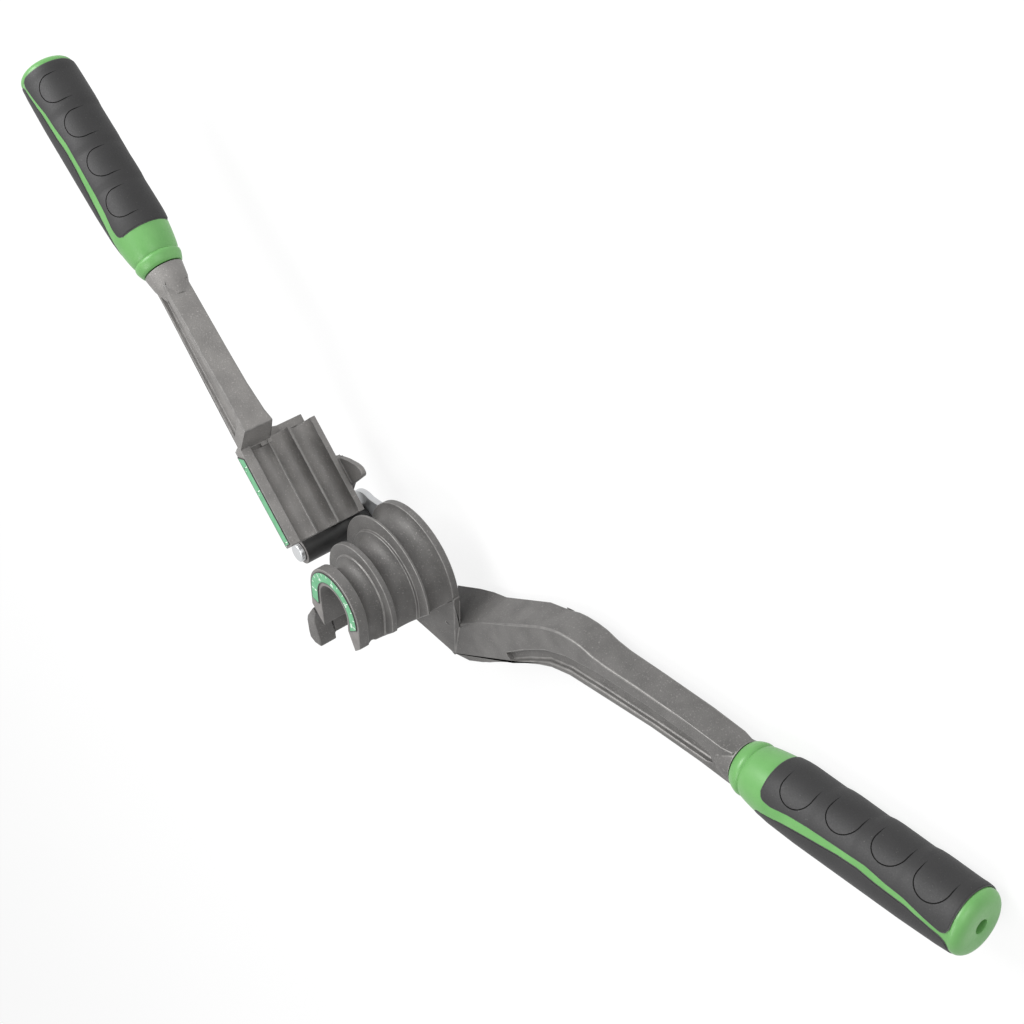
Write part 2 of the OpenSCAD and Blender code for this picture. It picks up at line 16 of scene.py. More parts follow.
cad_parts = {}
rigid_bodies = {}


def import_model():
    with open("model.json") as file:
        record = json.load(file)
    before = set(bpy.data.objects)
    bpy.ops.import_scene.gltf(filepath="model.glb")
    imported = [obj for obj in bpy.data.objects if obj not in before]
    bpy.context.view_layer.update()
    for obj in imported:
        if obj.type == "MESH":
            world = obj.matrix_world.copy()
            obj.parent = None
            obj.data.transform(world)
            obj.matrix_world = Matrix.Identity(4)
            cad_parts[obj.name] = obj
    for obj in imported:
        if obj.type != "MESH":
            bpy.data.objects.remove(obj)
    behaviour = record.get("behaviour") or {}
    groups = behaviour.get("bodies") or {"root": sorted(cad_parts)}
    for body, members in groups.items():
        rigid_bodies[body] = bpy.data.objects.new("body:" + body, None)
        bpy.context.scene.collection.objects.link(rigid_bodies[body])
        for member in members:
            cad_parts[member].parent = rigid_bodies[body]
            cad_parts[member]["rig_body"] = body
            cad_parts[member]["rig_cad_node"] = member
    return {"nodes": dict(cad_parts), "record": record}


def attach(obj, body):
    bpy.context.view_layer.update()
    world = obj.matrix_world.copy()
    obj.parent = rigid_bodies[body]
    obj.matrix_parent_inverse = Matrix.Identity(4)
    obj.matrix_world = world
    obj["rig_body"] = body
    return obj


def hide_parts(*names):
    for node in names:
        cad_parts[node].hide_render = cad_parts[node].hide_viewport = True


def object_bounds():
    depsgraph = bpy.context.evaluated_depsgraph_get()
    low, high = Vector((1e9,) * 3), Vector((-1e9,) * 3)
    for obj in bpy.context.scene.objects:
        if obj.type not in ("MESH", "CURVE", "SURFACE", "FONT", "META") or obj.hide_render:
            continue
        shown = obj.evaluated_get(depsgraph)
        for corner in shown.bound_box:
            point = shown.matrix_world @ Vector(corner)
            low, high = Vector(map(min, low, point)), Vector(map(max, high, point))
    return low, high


MM = 0.001
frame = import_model()
record = frame["record"]
cad_box = [list(corner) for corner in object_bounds()]
body_of = {node: body for body, members in record["behaviour"]["bodies"].items() for node in members}
slot_of = {part["node"]: part["material_slot"] for part in record["subparts"]}
joint_at = {joint["name"]: Vector(joint["pos_m"]) for joint in record["behaviour"]["joints"]}
hinge = joint_at["shoe_swing"]
mount_of = {mount["name"]: mount for mount in record["mounts"]}
box_size = [round((high - low) / MM, 1) for low, high in zip(*cad_box)]
print(len(frame["nodes"]), "nodes in a box of", box_size, "mm")

# %% [markdown]
# ## Camera
# The photograph looks at the tool from the scale side and a little from the end of the long
# handle, and it is turned so that the handles run from corner to corner. The camera's place
# and its two axes were found by matching the grooves and the grips, so they are set directly.

# %% Stand the camera where the photograph was taken
camera_at = Vector((466.4, 237.9, 234.9)) * MM
camera_back = Vector((0.787, 0.4027, 0.4675)).normalized()
camera_up = Vector((-0.1997, 0.8831, -0.4245)).normalized()
camera_lens = 57.98
camera_sensor = 36.0

bpy.ops.object.select_all(action="DESELECT")
bpy.ops.object.camera_add(location=camera_at)
camera = bpy.context.object
camera_right = camera_up.cross(camera_back).normalized()
camera_top = camera_back.cross(camera_right)
camera.rotation_euler = Matrix((camera_right, camera_top, camera_back)).transposed().to_euler()
camera.data.lens = camera_lens
camera.data.sensor_width = camera_sensor
camera.data.clip_start = 10 * MM
bpy.context.scene.camera = camera
bpy.context.scene.view_settings.view_transform = "Standard"
print("camera stands", round((camera_at.length) / MM), "mm from the pivot")

# %% [markdown]
# ## Light and floor
# The photograph is evenly lit from above its own frame, on white paper. One wide lamp gives
# the bright tops of the handles, one from above and one from the side open the near faces,
# and the white world fills the rest. The floor shows itself as white to the camera but
# still takes a shadow.

# %% Hang the lamps
lamp_span = 700 * MM

def soft_lamp(name, direction, distance, power):
    """A square lamp that looks at the pivot from a direction."""
    place = Vector(direction).normalized() * distance
    bpy.ops.object.light_add(type="AREA", location=place,
                             rotation=place.to_track_quat("Z", "Y").to_euler())
    lamp = bpy.context.object
    lamp.name = name
    lamp.data.size = lamp_span
    lamp.data.energy = power
    return lamp

key_lamp = soft_lamp("key_lamp", (-0.15, 0.85, 0.75), 1.3, 17.0)
fill_lamp = soft_lamp("fill_lamp", (0.2, -0.1, 1.0), 1.4, 6.0)
side_lamp = soft_lamp("side_lamp", (1.0, 0.35, 0.35), 1.4, 4.0)
print("lamps:", key_lamp.name, fill_lamp.name, side_lamp.name)

# %% Light the world
def backdrop_rays(nodes, links):
    """Rays from the camera, or by way of gloss or glass, that meet the background."""
    path = nodes.new("ShaderNodeLightPath")
    total = path.outputs["Is Camera Ray"]
    for ray in ("Is Glossy Ray", "Is Transmission Ray"):
        add = nodes.new("ShaderNodeMath")
        add.operation = "ADD"
        add.use_clamp = True
        links.new(total, add.inputs[0])
        links.new(path.outputs[ray], add.inputs[1])
        total = add.outputs[0]
    return total

world_light = 0.62
world = bpy.data.worlds.new("studio")
bpy.context.scene.world = world
world.use_nodes = True
nodes, links = world.node_tree.nodes, world.node_tree.links
lit = nodes["Background"]
lit.inputs["Color"].default_value = (1, 1, 1, 1)
lit.inputs["Strength"].default_value = world_light
seen = nodes.new("ShaderNodeBackground")
seen.inputs["Color"].default_value = (1, 1, 1, 1)
mix = nodes.new("ShaderNodeMixShader")
links.new(backdrop_rays(nodes, links), mix.inputs[0])
links.new(lit.outputs[0], mix.inputs[1])
links.new(seen.outputs[0], mix.inputs[2])
links.new(mix.outputs[0], nodes["World Output"].inputs["Surface"])
print("world lights at", world_light)

# %% Lay the floor
floor_span = 30.0
floor_drop = 0.3 * MM
bpy.ops.mesh.primitive_plane_add(size=floor_span, location=(0, 0, cad_box[0][2] - floor_drop))
floor = bpy.context.object
floor.name = "floor"
paper = bpy.data.materials.new("paper")
paper.use_nodes = True
nodes, links = paper.node_tree.nodes, paper.node_tree.links
nodes.remove(nodes["Principled BSDF"])
matte = nodes.new("ShaderNodeBsdfDiffuse")
matte.inputs["Color"].default_value = (0.86, 0.86, 0.86, 1)
shown = nodes.new("ShaderNodeEmission")
shown.inputs["Strength"].default_value = 1.0
share = nodes.new("ShaderNodeMath")
share.operation = "MULTIPLY"
share.inputs[1].default_value = 0.86
mix = nodes.new("ShaderNodeMixShader")
links.new(backdrop_rays(nodes, links), share.inputs[0])
links.new(share.outputs[0], mix.inputs[0])
links.new(matte.outputs[0], mix.inputs[1])
links.new(shown.outputs[0], mix.inputs[2])
links.new(mix.outputs[0], nodes["Material Output"].inputs["Surface"])
floor.data.materials.append(paper)
print("floor lies at", round(cad_box[0][2] / MM, 1), "mm")

# %% [markdown]
# ## Finishes
# Every finish starts the same way: a principled shader that reads the object's own
# coordinates, so that grain keeps its real size on every piece. Colour comes from a slow
# noise, and a fine noise drives a small bump.

# %% A helper for finishes
def finish(name, dark, light, patch, grain, bump, roughness, metallic=0.0, spread=0.1):
    """A material whose colour drifts between two tones and whose grain is a bump.

    patch, grain and bump are in mm.
    """
    material = bpy.data.materials.new(name)
    material.use_nodes = True
    nodes, links = material.node_tree.nodes, material.node_tree.links
    shader = nodes["Principled BSDF"]
    shader.inputs["Metallic"].default_value = metallic
    place = nodes.new("ShaderNodeTexCoord")
    drift = nodes.new("ShaderNodeTexNoise")
    drift.inputs["Scale"].default_value = 1 / (patch * MM)
    drift.inputs["Detail"].default_value = 5
    links.new(place.outputs["Object"], drift.inputs["Vector"])
    tone = nodes.new("ShaderNodeValToRGB")
    tone.color_ramp.elements[0].position = 0.32
    tone.color_ramp.elements[0].color = (*dark, 1)
    tone.color_ramp.elements[1].position = 0.68
    tone.color_ramp.elements[1].color = (*light, 1)
    links.new(drift.outputs["Fac"], tone.inputs["Fac"])
    links.new(tone.outputs["Color"], shader.inputs["Base Color"])
    fine = nodes.new("ShaderNodeTexNoise")
    fine.inputs["Scale"].default_value = 1 / (grain * MM)
    fine.inputs["Detail"].default_value = 3
    links.new(place.outputs["Object"], fine.inputs["Vector"])
    rough = nodes.new("ShaderNodeMapRange")
    rough.inputs["To Min"].default_value = roughness - spread
    rough.inputs["To Max"].default_value = roughness + spread
    links.new(fine.outputs["Fac"], rough.inputs["Value"])
    links.new(rough.outputs["Result"], shader.inputs["Roughness"])
    raised = nodes.new("ShaderNodeBump")
    raised.inputs["Distance"].default_value = bump * MM
    raised.inputs["Strength"].default_value = 1.0
    links.new(fine.outputs["Fac"], raised.inputs["Height"])
    links.new(raised.outputs["Normal"], shader.inputs["Normal"])
    return material

def speckle(material, colour, size, amount):
    """Small spots of another colour over a finish, of a size in mm."""
    nodes, links = material.node_tree.nodes, material.node_tree.links
    shader = nodes["Principled BSDF"]
    base = shader.inputs["Base Color"].links[0].from_socket
    place = nodes["Texture Coordinate"]
    spots = nodes.new("ShaderNodeTexNoise")
    spots.inputs["Scale"].default_value = 1 / (size * MM)
    spots.inputs["Detail"].default_value = 1
    links.new(place.outputs["Object"], spots.inputs["Vector"])
    where = nodes.new("ShaderNodeMapRange")
    where.inputs["From Min"].default_value = 1 - amount
    where.inputs["From Max"].default_value = 1 - 0.6 * amount
    links.new(spots.outputs["Fac"], where.inputs["Value"])
    blend = nodes.new("ShaderNodeMix")
    blend.data_type = "RGBA"
    links.new(where.outputs["Result"], blend.inputs[0])
    links.new(base, blend.inputs[6])
    blend.inputs[7].default_value = (*colour, 1)
    links.new(blend.outputs[2], shader.inputs["Base Color"])
    return material

# %% Mix the metals
cast_metal = speckle(
    finish("cast_metal", (0.170, 0.164, 0.158), (0.215, 0.207, 0.199), 8.0, 0.5, 0.10, 0.56, 0.35),
    (0.30, 0.285, 0.275), 0.55, 0.38)
dark_cast = speckle(
    finish("dark_cast", (0.092, 0.089, 0.086), (0.124, 0.120, 0.116), 8.0, 0.5, 0.10, 0.6, 0.25),
    (0.20, 0.19, 0.185), 0.55, 0.38)
# Finish of the rounded casting edges: wear where tubes rub, and painted highlight along every other
# edge.
worn_and_highlit_edge = finish("worn_and_highlit_edge", (0.15, 0.146, 0.142), (0.22, 0.213, 0.206),
                    3.0, 0.5, 0.05, 0.48, 0.5)
milled_metal = finish("milled_metal", (0.16, 0.15, 0.145), (0.21, 0.197, 0.19),
                      4.0, 0.4, 0.03, 0.42, 0.5)
bright_steel = finish("bright_steel", (0.52, 0.53, 0.54), (0.60, 0.61, 0.62),
                      6.0, 0.8, 0.002, 0.34, 0.75, 0.03)
black_steel = finish("black_steel", (0.026, 0.026, 0.026), (0.040, 0.040, 0.039),
                     4.0, 0.5, 0.03, 0.48, 0.1)
metals = (cast_metal, dark_cast, worn_and_highlit_edge, milled_metal, bright_steel, black_steel)
print("metals:", [metal.name for metal in metals])

# %% Mix the paints, the plastic and the rubber
label_green = finish("label_green", (0.070, 0.275, 0.125), (0.105, 0.345, 0.175),
                     2.0, 0.3, 0.01, 0.42)
label_black = finish("label_black", (0.012, 0.014, 0.012), (0.03, 0.034, 0.03),
                     2.0, 0.3, 0.01, 0.45)
label_white = finish("label_white", (0.66, 0.74, 0.68), (0.86, 0.90, 0.86), 1.5, 0.3, 0.01, 0.45)
grip_green = finish("grip_green", (0.088, 0.262, 0.066), (0.114, 0.300, 0.086),
                    9.0, 0.8, 0.02, 0.38)
grip_rubber = speckle(
    finish("grip_rubber", (0.0095, 0.0092, 0.0097), (0.0140, 0.0136, 0.0142), 10.0, 0.4, 0.04, 0.6),
    (0.06, 0.06, 0.057), 0.45, 0.29)
# Near black and nearly without gloss: painted shade for the rims of the finger hollows.
groove_shade = finish("groove_shade", (0.004, 0.004, 0.004), (0.006, 0.006, 0.006),
                      2.0, 0.4, 0.01, 0.85)
groove_shade.node_tree.nodes["Principled BSDF"].inputs["Specular IOR Level"].default_value = 0.1
soft = (label_green, label_black, label_white, grip_green, grip_rubber, groove_shade)
print("soft finishes:", [material.name for material in soft])

# %% [markdown]
# ## Castings
# The former, the shoe and the latch are castings: their faces are grainy and their edges are
# round, and the rims that tubes rub are worn bright. The solids have knife edges. One could
# fake round edges in the shader, but a bevel on the mesh also rounds the outline. So each
# solid is copied, its loose triangles are joined, flat faces are dissolved into single faces,
# and the sharp edges get a bevel whose faces take a lighter finish: wear and painted highlight.
# Near the former's root and at the end of the shoe's block the edges get only a small share of
# that bevel. The former and the latch have a darker finish than the shoe.

# %% Tools to copy a solid and to pick its faces
def only(piece):
    """Make one object the only selected one."""
    bpy.ops.object.select_all(action="DESELECT")
    piece.select_set(True)
    bpy.context.view_layer.objects.active = piece

def copy_of(node, name):
    """A free copy of a solid with its triangles joined and its flat faces whole."""
    only(frame["nodes"][node])
    bpy.ops.object.duplicate()
    piece = bpy.context.object
    bpy.ops.object.parent_clear(type="CLEAR_KEEP_TRANSFORM")
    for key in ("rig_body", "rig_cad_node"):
        del piece[key]
    piece.name = name
    only(piece)
    bpy.ops.object.mode_set(mode="EDIT")
    bpy.ops.mesh.select_all(action="SELECT")
    bpy.ops.mesh.remove_doubles(threshold=0.002 * MM)
    bpy.ops.mesh.dissolve_limited(angle_limit=radians(0.6))
    bpy.ops.object.mode_set(mode="OBJECT")
    return piece

def select_faces(piece, wanted):
    """In edit mode, select the faces for which wanted(centre, normal) holds."""
    mesh = bmesh.from_edit_mesh(piece.data)
    bpy.ops.mesh.select_mode(type="FACE")
    bpy.ops.mesh.select_all(action="DESELECT")
    count = 0
    for face in mesh.faces:
        if wanted(face.calc_center_median(), face.normal):
            face.select_set(True)
            count += 1
    bmesh.update_edit_mesh(piece.data)
    return count

def paint(piece, materials):
    """Give a piece its materials; the first covers all of it."""
    piece.data.materials.clear()
    for material in materials:
        piece.data.materials.append(material)
    piece.data.polygons.foreach_set("material_index", [0] * len(piece.data.polygons))

def settle(piece, body, slot, *nodes):
    """Say which body carries a piece and which solids it stands for; slot, its finish, is not used."""
    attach(piece, body)
    if nodes:
        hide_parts(*nodes)

# %% Round the edges of a copy
fine_share = 0.12

def rounded(node, name, materials, radius, broad=None, broad_share=1.0,
            sharp=32, segments=2, fine=None):
    """A copy of a solid with round edges of a radius in mm.

    An edge gets broad_share of it where broad(middle) fails, and fine_share of it where
    fine(middle) holds.
    """
    piece = copy_of(node, name)
    paint(piece, materials)
    bpy.ops.object.mode_set(mode="EDIT")
    bpy.ops.mesh.select_mode(type="EDGE")
    bpy.ops.mesh.select_all(action="DESELECT")
    bpy.ops.mesh.edges_select_sharp(sharpness=radians(sharp))
    mesh = bmesh.from_edit_mesh(piece.data)
    layers = mesh.edges.layers.float
    weight = layers.get("bevel_weight_edge") or layers.new("bevel_weight_edge")
    marked = 0
    for edge in mesh.edges:
        if not edge.select:
            continue
        middle = (edge.verts[0].co + edge.verts[1].co) / 2
        if fine and fine(middle):
            edge[weight] = fine_share
        else:
            edge[weight] = 1.0 if broad is None or broad(middle) else broad_share
        marked += 1
    bmesh.update_edit_mesh(piece.data)
    bpy.ops.object.mode_set(mode="OBJECT")
    bevel = piece.modifiers.new("round edges", "BEVEL")
    bevel.limit_method = "WEIGHT"
    bevel.width = radius * MM
    bevel.segments = segments
    bevel.use_clamp_overlap = False
    # The bevel faces take the second finish. On the castings this is wear plus painted edge highlight.
    bevel.material = 1 if len(materials) > 1 else -1
    bevel.miter_outer = "MITER_ARC"
    bevel.loop_slide = False
    bpy.ops.object.modifier_apply(modifier=bevel.name)
    bpy.ops.object.shade_smooth_by_angle(angle=radians(40))
    even = piece.modifiers.new("flat faces stay flat", "WEIGHTED_NORMAL")
    even.keep_sharp = True
    bpy.ops.object.modifier_apply(modifier=even.name)
    print(name, "has", marked, "round edges and", len(piece.data.polygons), "faces")
    return piece

def mill(piece, wanted):
    """Give the machined finish to the faces for which wanted(centre, normal) holds."""
    only(piece)
    bpy.ops.object.mode_set(mode="EDIT")
    count = select_faces(piece, wanted)
    piece.active_material_index = 2
    bpy.ops.object.material_slot_assign()
    bpy.ops.object.mode_set(mode="OBJECT")
    print(piece.name, "has", count, "milled faces")

# %% Dress the former, the shoe and the latch
top_plane = 35 * MM
former_arm_span = (30 * MM, 139 * MM)
root_span = (22 * MM, 44 * MM)
root_top = -12 * MM
shoe_arm_span = (54 * MM, 95 * MM)
block_end_span = (47.5 * MM, 57 * MM)
block_top = top_plane - 0.1 * MM
cast_round, head_share = 0.6, 0.45

def within(value, span):
    return span[0] < value < span[1]

former_body = rounded("former_casting", "former_body", [dark_cast, worn_and_highlit_edge, milled_metal],
                      cast_round, lambda middle: within(middle.x, former_arm_span), head_share,
                      segments=3,
                      fine=lambda middle: within(middle.x, root_span) and middle.y < root_top)
mill(former_body, lambda centre, normal: normal.z > 0.99 and centre.z > top_plane - 0.3 * MM)
settle(former_body, "former", slot_of["former_casting"], "former_casting")
shoe_body = rounded("shoe_casting", "shoe_body", [cast_metal, worn_and_highlit_edge, milled_metal],
                    cast_round, lambda middle: within(middle.y, shoe_arm_span), head_share,
                    segments=3,
                    fine=lambda middle: within(middle.y, block_end_span) and middle.z < block_top)
settle(shoe_body, "shoe", slot_of["shoe_casting"], "shoe_casting")
latch_body = rounded("latch_hook", "latch_body", [dark_cast, dark_cast], 0.5)
settle(latch_body, "latch", slot_of["latch_hook"], "latch_hook")

# %% A short dark slit in the former's root
# The photograph shows a short dark slot there. A thin black bar stands for it.
# The bar is painted shade: black where the inside of the slot lies in shade, with no slot cut.
slit_places = (Vector((11.6, -19.9, 1.75)), Vector((14.9, -22.3, 1.0)))
slit_width, slit_depth = 0.55, 0.5
slit_middle = (slit_places[0] + slit_places[1]) / 2 * MM
slit_along = slit_places[1] - slit_places[0]
bpy.ops.object.select_all(action="DESELECT")
bpy.ops.mesh.primitive_cube_add(size=1, location=slit_middle,
                                rotation=slit_along.to_track_quat("X", "Z").to_euler())
slit = bpy.context.object
slit.name = "root_slit_shade"
slit.scale = (slit_along.length * MM, slit_width * MM, slit_depth * MM)
bpy.ops.object.transform_apply(location=True, rotation=True, scale=True)
paint(slit, [black_steel])
settle(slit, "former", slot_of["former_casting"])
print("slit is", round(slit_along.length, 1), "mm long")

# %% Rivet, latch pin, rings and the link
# The rims of the rivet's foot and head, all that lies outside a radius in mm, are drawn in.
steel_round = 0.25
rivet_rim_from = 6
rivet_rim_share = 0.78
bright_nodes = ("pivot_rivet", "pivot_spacer", "pivot_washer", "latch_pin", "latch_spacer",
                "link_plate")
for node in bright_nodes:
    piece = rounded(node, node + "_steel", [bright_steel], steel_round)
    if node == "pivot_rivet":
        for vertex in piece.data.vertices:
            if vertex.co.xy.length > rivet_rim_from * MM:
                vertex.co.xy *= rivet_rim_share
    settle(piece, body_of[node], slot_of[node], node)
for node in ("hinge_sleeve", "hinge_clip"):
    piece = rounded(node, node + "_black", [black_steel], steel_round)
    settle(piece, body_of[node], slot_of[node], node)

# %% [markdown]
# ## Printed scales
# Two green strips carry the scales. Each starts as a copy of its solid. An inset of the top
# face leaves a thin border that takes the black ink. Ticks are small cubes, and numbers are
# text turned to mesh. All of them are laid out flat, then turned and moved to their strip.

# %% A printed strip with a black border
def printed_strip(node, name, border):
    """A copy of a strip's solid whose top face has a black border of a width in mm."""
    piece = copy_of(node, name)
    paint(piece, [label_green, label_black])
    bpy.ops.object.mode_set(mode="EDIT")
    select_faces(piece, lambda centre, normal: normal.z > 0.99)
    bpy.ops.mesh.inset(thickness=border * MM, use_even_offset=True)
    select_faces(piece, lambda centre, normal: normal.z < 0.99)
    piece.active_material_index = 1
    bpy.ops.object.material_slot_assign()
    bpy.ops.object.mode_set(mode="OBJECT")
    mesh = bmesh.new()
    mesh.from_mesh(piece.data)
    tops = [face for face in mesh.faces if face.normal.z > 0.99]
    tops.sort(key=lambda face: -face.calc_area())
    for face in tops[1:]:
        face.material_index = 1
    mesh.to_mesh(piece.data)
    mesh.free()
    settle(piece, body_of[node], slot_of[node], node)
    print(name, "has a border of", border, "mm")

strip_border = 0.32
printed_strip("angle_label", "scale_strip", strip_border)
printed_strip("shoe_label", "shoe_strip", strip_border)

# %% Tools for ticks and numbers
ink_t = 0.06 * MM
ink_spread = 0.03 * MM
strip_top = top_plane + 0.3 * MM

def tick(origin, turn, place, turned, size):
    """A flat bar of white ink: its place and size in mm in a frame at origin turned by turn."""
    spot = Matrix.Rotation(turn, 3, "Z") @ Vector((place[0] * MM, place[1] * MM, 0))
    bpy.ops.mesh.primitive_cube_add(size=1, rotation=(0, 0, turn + turned),
                                    location=(origin.x + spot.x, origin.y + spot.y, strip_top))
    piece = bpy.context.object
    piece.scale = (size[0] * MM, size[1] * MM, ink_t)
    bpy.ops.object.transform_apply(location=True, rotation=True, scale=True)
    return piece

def number(text, origin, turn, place, turned, size):
    """A number in ink, centred at a place in mm in a frame at origin turned by turn."""
    spot = Matrix.Rotation(turn, 3, "Z") @ Vector((place[0] * MM, place[1] * MM, 0))
    bpy.ops.object.text_add(location=(origin.x + spot.x, origin.y + spot.y, strip_top),
                            rotation=(0, 0, turn + turned))
    piece = bpy.context.object
    piece.data.body = text
    piece.data.size = size * MM
    piece.data.align_x = "CENTER"
    piece.data.align_y = "CENTER"
    piece.data.extrude = ink_t / 2
    piece.data.offset = ink_spread
    piece.data.resolution_u = 4
    only(piece)
    bpy.ops.object.convert(target="MESH")
    piece = bpy.context.object
    bpy.ops.object.transform_apply(location=True, rotation=True, scale=True)
    return piece

def joined(pieces, name, material):
    """One object of many, with one finish."""
    bpy.ops.object.select_all(action="DESELECT")
    for piece in pieces:
        piece.select_set(True)
    bpy.context.view_layer.objects.active = pieces[0]
    bpy.ops.object.join()
    piece = bpy.context.object
    piece.name = name
    piece.data.name = name
    bpy.ops.object.mode_set(mode="EDIT")
    bpy.ops.mesh.select_all(action="SELECT")
    bpy.ops.mesh.normals_make_consistent(inside=False)
    bpy.ops.object.mode_set(mode="OBJECT")
    paint(piece, [material])
    return piece

# %% Angle scale on the former
crown_turn = radians(-24)
pivot = Vector((0, 0, 0))
number_r, tick_end_r = 10.45, 12.8
tick_step, number_step = 15, 45
long_tick, short_tick, tick_width = 1.5, 0.9, 0.22
scale_number_size = 1.35
marks = []
for angle in range(0, 181, tick_step):
    at = radians(180 - angle)
    length = long_tick if angle % number_step == 0 else short_tick
    reach = tick_end_r - length / 2
    place = (reach * cos(at), reach * sin(at))
    marks.append(tick(pivot, crown_turn, place, at, (length, tick_width)))
for angle in range(0, 181, number_step):
    at = radians(180 - angle)
    place = (number_r * cos(at), number_r * sin(at))
    marks.append(number(str(angle), pivot, crown_turn, place, at - pi / 2, scale_number_size))
scale_ink = joined(marks, "scale_ink", label_white)
settle(scale_ink, "former", slot_of["angle_label"])
print("scale ink has", len(scale_ink.data.polygons), "faces")

# %% Marks on the shoe
shoe_turn = radians(115.7 - 90)
tick_x, dash_x, digit_x = 17.7, 15.9, 16.0
shoe_number_size = 1.5
marks, digits = [], []
for along, text in ((4.6, "0"), (24.5, "1"), (33.7, "2")):
    marks.append(tick(hinge, shoe_turn, (tick_x, along), 0, (1.9, 0.25)))
    marks.append(tick(hinge, shoe_turn, (dash_x, along - 1.15), 0, (0.5, 0.2)))
    digits.append(number(text, hinge, shoe_turn, (digit_x, along), pi / 2, shoe_number_size))
shoe_ticks = joined(marks, "shoe_ticks", label_white)
settle(shoe_ticks, "shoe", slot_of["shoe_label"])
shoe_digits = joined(digits, "shoe_digits", label_black)
settle(shoe_digits, "shoe", slot_of["shoe_label"])
print("shoe marks:", len(marks), "ticks and", len(digits), "digits")

# %% [markdown]
# ## Soft grips
# Each grip is a green sleeve with a flared collar and a round end cap, and two dark rubber
# panels that lie on it. The panel on the finger side swells and sinks for four fingers, and
# a thin dark U of painted shade lies along the rim of each finger's hollow. A panel is a flat
# grid wrapped round the grip: every point gets a place along the grip, an angle round it and
# a radius from a few tables. A solidify then gives it thickness and a bevel its round rim.
# Under each panel a slightly wider black sheet paints the shadow in the gap round its rim.

# %% Frames of the two grips
grip_length = 80.5
grips = {}
for body, side in (("former", 1), ("shoe", -1)):
    hole = mount_of[body + "_hanging_hole"]
    axis = Vector(hole["axis"]).normalized()
    up = Vector((0, 0, 1))
    across = up.cross(axis).normalized() * side
    start = Vector(hole["pos_m"]) - axis * grip_length * MM
    grips[body] = (start, axis, up, across)
    print(body, "grip starts at", [round(c / MM, 1) for c in start])

# %% Tables for the rubber
def table(points):
    """A function that runs straight between (place, value) points."""
    def value(x):
        if x <= points[0][0]:
            return points[0][1]
        for (x0, y0), (x1, y1) in zip(points, points[1:]):
            if x <= x1:
                return y0 + (y1 - y0) * (x - x0) / (x1 - x0)
        return points[-1][1]
    return value

finger_edge = table([(12, 21), (14, 20), (16, 19), (22, 25), (29, 28), (39, 29.5), (49, 31),
                     (56, 26), (62, 24), (69, 16), (74, 12), (77.8, 14)])
palm_edge = table([(9.9, -12), (17, -2), (23, 4), (30, 9.5), (40, 16), (47, 17.5), (53, 14),
                   (63, 12), (69, 6), (74, 0), (77.6, -8)])
hollow_at = (21.5, 36.8, 52.3, 67.2)
hollow_bottom = (36, 45, 46, 38)
hollow_half = 5.2
rubber_r = 10.5
finger_wave = table([(8, 0.0), (14, 0.2), (16.6, 0.3), (19, 0.2),
                     (27.6, -0.34), (30.2, 0.26), (32.4, 0.34), (34.4, 0.22),
                     (42.6, -0.42), (45.0, 0.26), (47.4, 0.34), (49.6, 0.2),
                     (57.8, -0.42), (60.2, 0.24), (62.6, 0.32), (64.8, 0.18),
                     (72.4, -0.38), (74.6, 0.05), (77.8, -0.1)])
palm_girth = table([(9, 9.7), (14, 10.2), (24, 10.5), (60, 10.5), (72, 10.25), (77.8, 9.9)])

def smooth(x):
    x = min(1.0, max(0.0, x))
    return x * x * (3 - 2 * x)

wave_share = 0.55
wave_end, wave_fade = 84, 42

def rubber_radius(along, angle):
    """Radius in mm of the finger panel, angle in degrees from the top towards the fingers."""
    off = abs(angle - 90)
    wave = wave_share * finger_wave(along) * smooth((wave_end - off) / wave_fade)
    return min(rubber_r, palm_girth(along) + 0.25) + wave

# %% Wrap a panel round a grip
rim_round = 0.22

